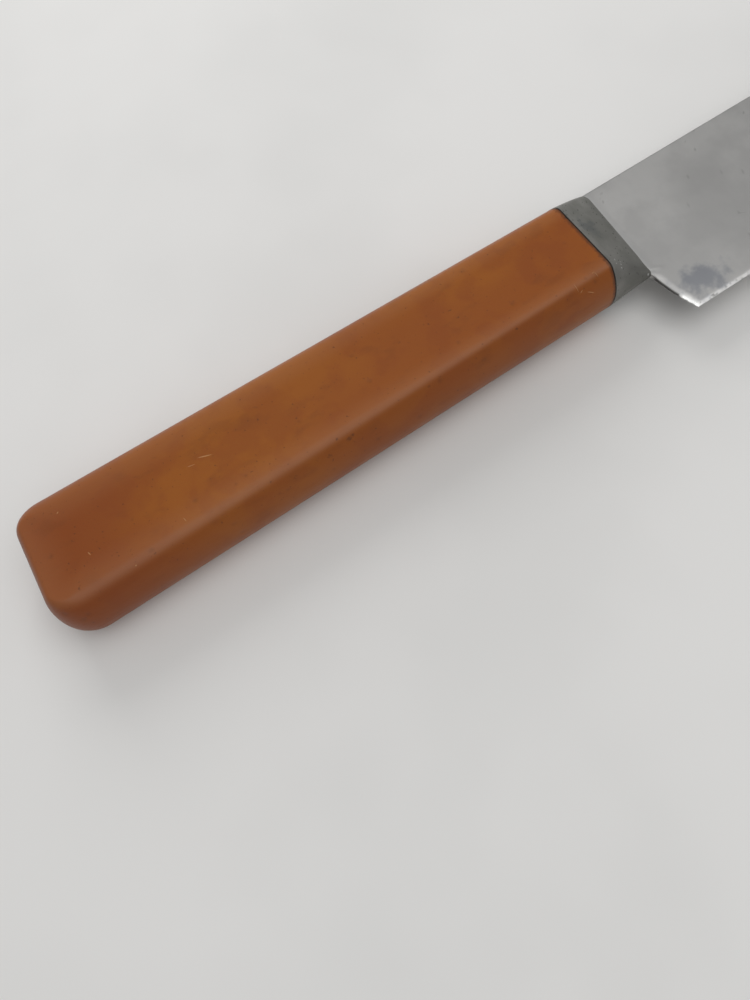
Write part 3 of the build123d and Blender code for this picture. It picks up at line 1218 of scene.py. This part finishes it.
@dataclass
class Blade(Piece):
    """Flat-ground blade with its heel and sharpening bevel, and the root and tang behind it."""

    spine_thickness: float = 2.16
    tip_thickness: float = 0.8
    shoulder_thickness: float = 0.5
    edge_thickness: float = 0.06
    bevel_height: float = 0.75
    spine_straight: float = 98.0
    edge_straight: float = 62.0
    tip_y: float = 2.6
    heel_slant: float = 2.6
    heel_hollow: float = 0.35
    facet_length: float = 1.3
    facet_depth: float = 0.6
    tooth_depth: float = 1.5
    nick_depth: float = 1.6
    waviness: float = 0.03
    pits_per_cm2: float = 3.0
    pit_radius: float = 0.35
    pit_darkness: float = 0.3
    spine_rounding: float = 0.3
    ramp: float = 0.10
    ramp_reach: float = 0.9
    hidden: float = 2.5
    root_height: float = 18.0
    root_depth: float = 6.5
    tang_height: float = 8.6
    tang_end_height: float = 5.4
    tang_end_radius: float = 1.5
    tang_depth: float = 86.0
    stock: float = 2.2
    notch_pitch: float = 16.0
    notch_radius: float = 1.0
    notch_count: int = 4
    name: ClassVar[str] = "ground_blade"
    node: ClassVar[str] = "blade"
    slot: ClassVar[str] = "blade_steel"
    columns: ClassVar[int] = 128

    def risen(self, tree: ShapeTree, x: Field, straight: float, rise: float) -> Field:
        """How far an arc that starts after a straight run has risen at x.

        Args:
            tree: The tree that the nodes go into.
            x: Place along the knife.
            straight: Length of the straight run in front of the toe.
            rise: How far the arc has risen at the tip.

        Returns:
            The rise at x.
        """
        start = self.places.seam + self.places.bolster_length + straight
        run = self.places.tip - start
        radius = (run**2 + rise**2) / (2 * rise)
        along = tree.math("MAXIMUM", x - start, 0.0)
        return radius - tree.math("SQRT", radius**2 - along * along)

    def shape(self, tree: ShapeTree) -> Socket:
        """Builds both ground faces from the spine to the edge, closed at the heel and the tip.

        Args:
            tree: The tree that the nodes go into.

        Returns:
            The shaped geometry.
        """
        stages = {"rear": 3, "length": 380, "tip": 3}
        mesh, around, (rear, length, tip) = tree.sheet(stages, self.columns)
        fall = tree.math("PINGPONG", around * 2.0, 1.0)
        fall = 0.5 - tree.math("COSINE", fall * math.pi) * 0.5
        side = tree.math("SIGN", around - 0.5)
        spot = self.spot(tree, fall, length)
        facet, corner = self.facet(tree, spot)
        half = self.half_thickness(tree, spot)
        half = half * (1.0 - facet * tree.size("Facet depth", self.facet_depth))
        half = half * rear * (1.0 - tip)
        waves = tree.noise(tree.vector(spot.x, spot.y, side * 9.0), size=16.0, seed=7.0) - 0.5
        waves = waves * tree.size("Waviness", self.waviness)
        half = half - waves * tree.smooth(half, 0.1, 0.4)
        mesh = self.marked(tree, mesh, spot, corner)
        mesh = tree.bent(mesh, spot.x, spot.y, half * side + self.places.middle)
        density = tree.size("Pits per square centimetre", self.pits_per_cm2)
        pits = tree.pits(mesh, density, radius=self.pit_radius, seed=23) * self.pit_darkness
        # the dark share also carries the heel's painted shade
        return tree.remembered(mesh, "pits_and_shade", tree.math("MAXIMUM", pits, tree.recalled("heel_shade_and_rust")))

    def spot(self, tree: ShapeTree, fall: Field, length: Field) -> BladeSpot:
        """Finds a place between the blade's spine and its edge.

        Args:
            tree: The tree that the nodes go into.
            fall: Share of the way from the spine to the edge.
            length: Share of the way from the heel to the tip.

        Returns:
            The place.
        """
        spine, edge, belly = self.places.spine, self.places.edge, self.places.belly
        level = blend(spine, edge, fall)
        below = tree.clamp((belly - level) / (belly - edge), 0.0, 1.0)
        inside = tree.smooth(level, belly + 0.2, belly + 1.4) * self.hidden
        tooth = tree.noise(tree.vector(level, 0.0, 0.0), size=1.3, seed=3.3, detail=3.0)
        teeth = tree.math("MAXIMUM", tooth - 0.52, 0.0) * tree.size("Tooth depth", self.tooth_depth)
        teeth = teeth * tree.smooth(below, 0.02, 0.12)
        heel = tree.size("Heel slant", self.heel_slant) * below
        heel = heel - below * (1.0 - below) * 4.0 * tree.size("Heel hollow", self.heel_hollow)
        toe = self.places.toe(tree.math("MAXIMUM", level, belly))
        start = toe + heel - inside + teeth
        x = blend(start, self.places.tip, length * length * 0.25 + length * 0.75)

        top = spine - self.risen(tree, x, self.spine_straight, spine - self.tip_y)
        nick = tree.noise(tree.vector(x, 0.0, 0.0), size=0.9, seed=5.1, detail=3.0)
        nicks = tree.math("MAXIMUM", nick - 0.60, 0.0) * tree.size("Nick depth", self.nick_depth)
        bottom = edge + self.risen(tree, x, self.edge_straight, self.tip_y - edge) + nicks
        y = blend(top, bottom, fall)
        ragged = tree.noise(tree.vector(x, 4.0, 0.0), size=2.2, seed=1.1, detail=3.0)
        bevel = tree.size("Bevel height", self.bevel_height) * (0.62 + ragged * 0.76)
        bevel = tree.math("MINIMUM", bevel, (top - bottom) * 0.4)
        return BladeSpot(x, y, down=top - y, above=y - bottom, ahead=x - start, below=below, bevel=bevel)

    def facet(self, tree: ShapeTree, spot: BladeSpot) -> tuple[Field, Field]:
        """Finds the filed facet along the heel, which is strongest at the heel's corner.

        Args:
            tree: The tree that the nodes go into.
            spot: Place on the blade.

        Returns:
            The share of the facet's depth, and that of the corner alone.
        """
        facet = tree.clamp(1.0 - spot.ahead / tree.size("Facet length", self.facet_length), 0.0, 1.0)
        corner = facet * tree.smooth(spot.below, 0.56, 0.72)
        return facet * tree.smooth(spot.below, 0.02, 0.15) * 0.5 + corner * 0.5, corner

    def half_thickness(self, tree: ShapeTree, spot: BladeSpot) -> Field:
        """Works out how thick the blade is: flat ground, honed at its edge and swollen at the bolster.

        Args:
            tree: The tree that the nodes go into.
            spot: Place on the blade.

        Returns:
            Half the thickness.
        """
        toe_x = self.places.seam + self.places.bolster_length
        towards_tip = tree.clamp((spot.x - toe_x) / (self.places.tip - self.places.seam), 0.0, 1.0)
        thick = tree.size("Spine thickness", self.spine_thickness)
        thick = blend(thick, tree.size("Tip thickness", self.tip_thickness), towards_tip) * 0.5
        shoulder = tree.size("Shoulder thickness", self.shoulder_thickness) * 0.5
        honed = tree.size("Edge thickness", self.edge_thickness) * 0.5
        honed = blend(honed, shoulder, spot.above / spot.bevel)
        ground = blend(thick, shoulder, spot.down / (spot.down + spot.above - spot.bevel))
        half = tree.math("MINIMUM", ground, honed)
        rounding = tree.clamp(spot.down / self.spine_rounding, 0.0, 1.0)
        half = half * tree.math("SQRT", rounding * (2.0 - rounding))
        off_toe = tree.math("MAXIMUM", spot.x - self.places.toe(spot.y), 0.0) / self.ramp_reach
        ramp = tree.math("EXPONENT", -off_toe * off_toe) * self.ramp
        return half + ramp * tree.smooth(spot.down, 0.0, 0.8) * tree.smooth(spot.above, 9.6, 11.6)

    def marked(self, tree: ShapeTree, mesh: Socket, spot: BladeSpot, corner: Field) -> Socket:
        """Stores how bright the blade is and how dark it is.

        Bright is the sharpened bevel's real lighter steel, with a painted glint at the heel's corner and
        a painted highlight beside the bolster's toe. Dark is painted shade along the heel's back edge,
        and rust specks on the bevel.

        Args:
            tree: The tree that the nodes go into.
            mesh: The blade's flat grid.
            spot: Place on the blade.
            corner: Share of the facet at the heel's corner.

        Returns:
            The grid with both attributes.
        """
        belly = self.places.belly
        beveled = 1.0 - tree.smooth(spot.above / spot.bevel, 0.7, 1.05)
        patchy = tree.noise(tree.vector(spot.x, spot.y * 0.5, 7.0), size=1.6, seed=8.8, detail=4.0)
        patchy = tree.smooth(patchy, 0.38, 0.60)
        # painted highlight: a bright strip beside the bolster's toe
        by_toe = 1.0 - tree.smooth(spot.x - self.places.toe(spot.y), 0.7, 1.6)
        by_toe = by_toe * tree.smooth(spot.y, belly - 0.6, belly + 1.0)
        # the bevel's lighter steel is real; the heel's corner gets a painted glint
        lit = tree.math("MAXIMUM", beveled * (0.05 + patchy * 0.30), tree.smooth(corner, 0.30, 0.70))
        lit = tree.math("MAXIMUM", lit, by_toe * 0.2)
        # painted shade: a dark band along the heel's back edge, up to the corner's glint
        by_heel = 1.0 - tree.smooth(spot.ahead, 0.02, 0.18)
        heel_shade_and_rust = by_heel * tree.smooth(spot.below, 0.01, 0.08)
        heel_shade_and_rust = heel_shade_and_rust * (1.0 - tree.smooth(spot.below, 0.6, 0.7)) * 0.75
        rust = tree.noise(tree.vector(spot.x, spot.y, 0.0), size=0.8, seed=14.2)
        rust = tree.smooth(rust, 0.56, 0.66)
        mesh = tree.remembered(mesh, "bright_bevel_and_glints", tree.clamp(lit, 0.0, 1.0))
        return tree.remembered(mesh, "heel_shade_and_rust", tree.math("MAXIMUM", heel_shade_and_rust, rust * beveled * 0.6))

    def tang_outline(self) -> list[tuple[float, float]]:
        """Walks round the root and the tang, notch by notch.

        Returns:
            Places along and across the knife in millimetres, as one closed loop.
        """
        toe = self.places.seam + self.places.bolster_length
        root, end = toe - self.root_depth, self.places.seam - self.tang_depth
        root_edge, tang_edge = -self.root_height / 2, -self.tang_height / 2
        lower = [(toe - self.hidden, root_edge), (root, root_edge), (root, tang_edge)]
        for notch in range(self.notch_count, 0, -1):
            centre = end + notch * self.notch_pitch
            share = (centre - end) / (root - end)
            level = -(self.tang_end_height + (self.tang_height - self.tang_end_height) * share) / 2
            for step in range(NOTCH_STEPS + 1):
                turn = math.pi * step / NOTCH_STEPS
                across = level + self.notch_radius * math.sin(turn)
                lower.append((centre + self.notch_radius * math.cos(turn), across))
        for step in range(CORNER_STEPS + 1):
            turn = QUARTER_TURN * step / CORNER_STEPS
            across = -self.tang_end_height / 2 + self.tang_end_radius * (1 - math.cos(turn))
            lower.append((end + self.tang_end_radius * (1 - math.sin(turn)), across))
        return lower + [(x, -y) for x, y in reversed(lower)]

    def extend(self, mesh: bmesh.types.BMesh) -> None:
        """Adds the root and the tang as one flat plate behind the ground blade.

        Args:
            mesh: The blade's mesh.
        """
        levels = (self.places.middle - self.stock / 2, self.places.middle + self.stock / 2)
        rings = []
        for level in levels:
            rings.append([mesh.verts.new((x * MM, y * MM, level * MM)) for x, y in self.tang_outline()])
        mesh.faces.new(rings[0])
        mesh.faces.new(reversed(rings[1]))
        count = len(rings[0])
        for index in range(count):
            following = (index + 1) % count
            mesh.faces.new((rings[0][index], rings[1][index], rings[1][following], rings[0][following]))


# --------------------------------------------------------------------------- studio


@dataclass(frozen=True)
class SoftBox:
    """A square area light that looks at a point of the table."""

    name: str
    place: Point
    target: Point
    width: float
    power: float
    mirrored: bool = True

    def build(self) -> None:
        """Makes the light. One that isn't mirrored leaves no highlight on glossy surfaces."""
        light = bpy.data.lights.new(self.name, "AREA")
        light.shape = "SQUARE"
        light.size = self.width
        light.energy = self.power
        lamp = bpy.data.objects.new(self.name, light)
        lamp.location = self.place
        lamp.visible_glossy = self.mirrored
        aim = Vector(self.target) - Vector(self.place)
        lamp.rotation_euler = aim.to_track_quat("-Z", "Y").to_euler()
        bpy.context.scene.collection.objects.link(lamp)


@dataclass(frozen=True)
class Studio:
    """Pale table, soft light from behind the spine, and the camera above the handle's belly side."""

    table: TableFinish = TableFinish()
    table_half: float = 4.0
    ambient: Colour = (0.99, 1.0, 1.0, 1.0)
    ambient_strength: float = 0.375
    eye: Point = (-0.0234, -0.0698, 0.1473)
    turn: tuple[float, float, float] = (20.95, 3.75, -33.25)
    lens: float = 29.88
    sensor: float = 36.0
    lights: tuple[SoftBox, ...] = (
        SoftBox("window", (0.10, 0.51, 0.30), (0.0, 0.0, 0.0), 0.40, 1.6, mirrored=False),
        SoftBox("ceiling", (0.12, -0.20, 0.90), (0.0, 0.0, 0.0), 1.00, 3.5),
    )

    def build(self) -> None:
        """Sets up the table, the world, the lights, the camera and the colour view."""
        half = self.table_half
        mesh = bpy.data.meshes.new("table")
        corners = [(-half, -half, 0.0), (half, -half, 0.0), (half, half, 0.0), (-half, half, 0.0)]
        mesh.from_pydata(corners, [], [(0, 1, 2, 3)])
        mesh.materials.append(self.table.material())
        table = bpy.data.objects.new("table", mesh)
        bpy.context.scene.collection.objects.link(table)
        world = bpy.data.worlds.new("studio")
        world.use_nodes = True
        background = world.node_tree.nodes["Background"]
        background.inputs["Color"].default_value = self.ambient
        background.inputs["Strength"].default_value = self.ambient_strength
        bpy.context.scene.world = world
        for light in self.lights:
            light.build()
        self.camera()
        bpy.context.scene.view_settings.view_transform = "Standard"

    def camera(self) -> None:
        """Places the camera."""
        data = bpy.data.cameras.new("camera")
        data.lens = self.lens
        data.sensor_width = self.sensor
        data.clip_start = 0.005
        camera = bpy.data.objects.new("camera", data)
        camera.location = self.eye
        camera.rotation_euler = Euler([math.radians(angle) for angle in self.turn])
        bpy.context.scene.collection.objects.link(camera)
        bpy.context.scene.camera = camera


BLADE_STEEL = MetalFinish(
    name="worn_steel",
    metal=(0.66, 0.648, 0.632, 1.0),
    patina=(0.480, 0.472, 0.463, 1.0),
    stain=(0.25, 0.265, 0.31, 1.0),
    bright=(0.85, 0.85, 0.84, 1.0),
    roughness=0.40,
    lay=Lay.ACROSS,
    stain_centre=(76.8, -18.0, 8.0),
    stain_reach=(5.6, 4.0, 30.0),
)

CAST_ALLOY = MetalFinish(
    name="dull_cast_alloy",
    metal=(0.33, 0.322, 0.302, 1.0),
    patina=(0.220, 0.221, 0.200, 1.0),
    stain=(0.150, 0.160, 0.162, 1.0),
    bright=(0.62, 0.62, 0.60, 1.0),
    roughness=0.50,
    lay=Lay.ALONG,
    metallic=0.85,
    blotch_size=3.0,
    stain_centre=(63.0, 2.0, 13.0),
    stain_reach=(2.2, 3.0, 4.0),
    scars=(
        Scar((62.0, -7.0, 13.5), 0.90, 0.28, 60.0),
        Scar((62.6, -8.3, 13.0), 0.50, 0.34, 0.0),
        Scar((61.5, -8.0, 13.3), 0.42, 0.30, 20.0),
        Scar((63.1, -7.6, 12.8), 0.70, 0.22, 100.0),
        Scar((62.2, -9.0, 12.9), 0.40, 0.24, 130.0),
        Scar((61.2, 9.6, 12.6), 0.60, 0.22, 45.0),
        Scar((68.2, -11.2, 8.6), 0.60, 0.45, 20.0),
    ),
)


def main() -> None:
    """Builds the knife and its studio."""
    logging.basicConfig(level=logging.INFO, format="%(name)s %(message)s")
    places = Places.read()
    pieces = (
        Handle(ResinFinish(), places),
        Bolster(CAST_ALLOY, places),
        Cement(CementFinish(), places),
        Blade(BLADE_STEEL, places),
    )
    for piece in pieces:
        piece.build()
    Studio().build()


if __name__ == "__main__":
    main()
